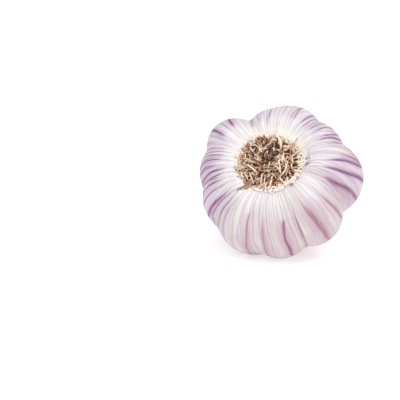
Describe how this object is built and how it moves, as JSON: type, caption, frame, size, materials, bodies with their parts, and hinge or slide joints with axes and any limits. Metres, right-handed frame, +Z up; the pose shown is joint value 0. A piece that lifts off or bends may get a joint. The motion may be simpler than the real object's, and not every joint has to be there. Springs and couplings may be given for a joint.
{
  "type": "garlic bulb",
  "caption": "Whole garlic bulb lying on its side, with a lobed papery skin, a tuft of short dry roots and a short cut neck with its flower stalk.",
  "frame": {"origin": "middle of the lying bulb's outline, on the surface that it rests on", "axes": "+Z up; the root end faces -Y and up, the cut neck points to +Y and down; +X is to the right of the root end"},
  "size_m": [0.0548, 0.052, 0.0465],
  "materials": {
    "skin": "satin",
    "roots": "matte",
    "stalk": "matte"
  },
  "bodies": {
    "root": {"bulb": "skin", "root_plate": "roots", "flower_stalk": "stalk"}
  },
  "joints": []
}
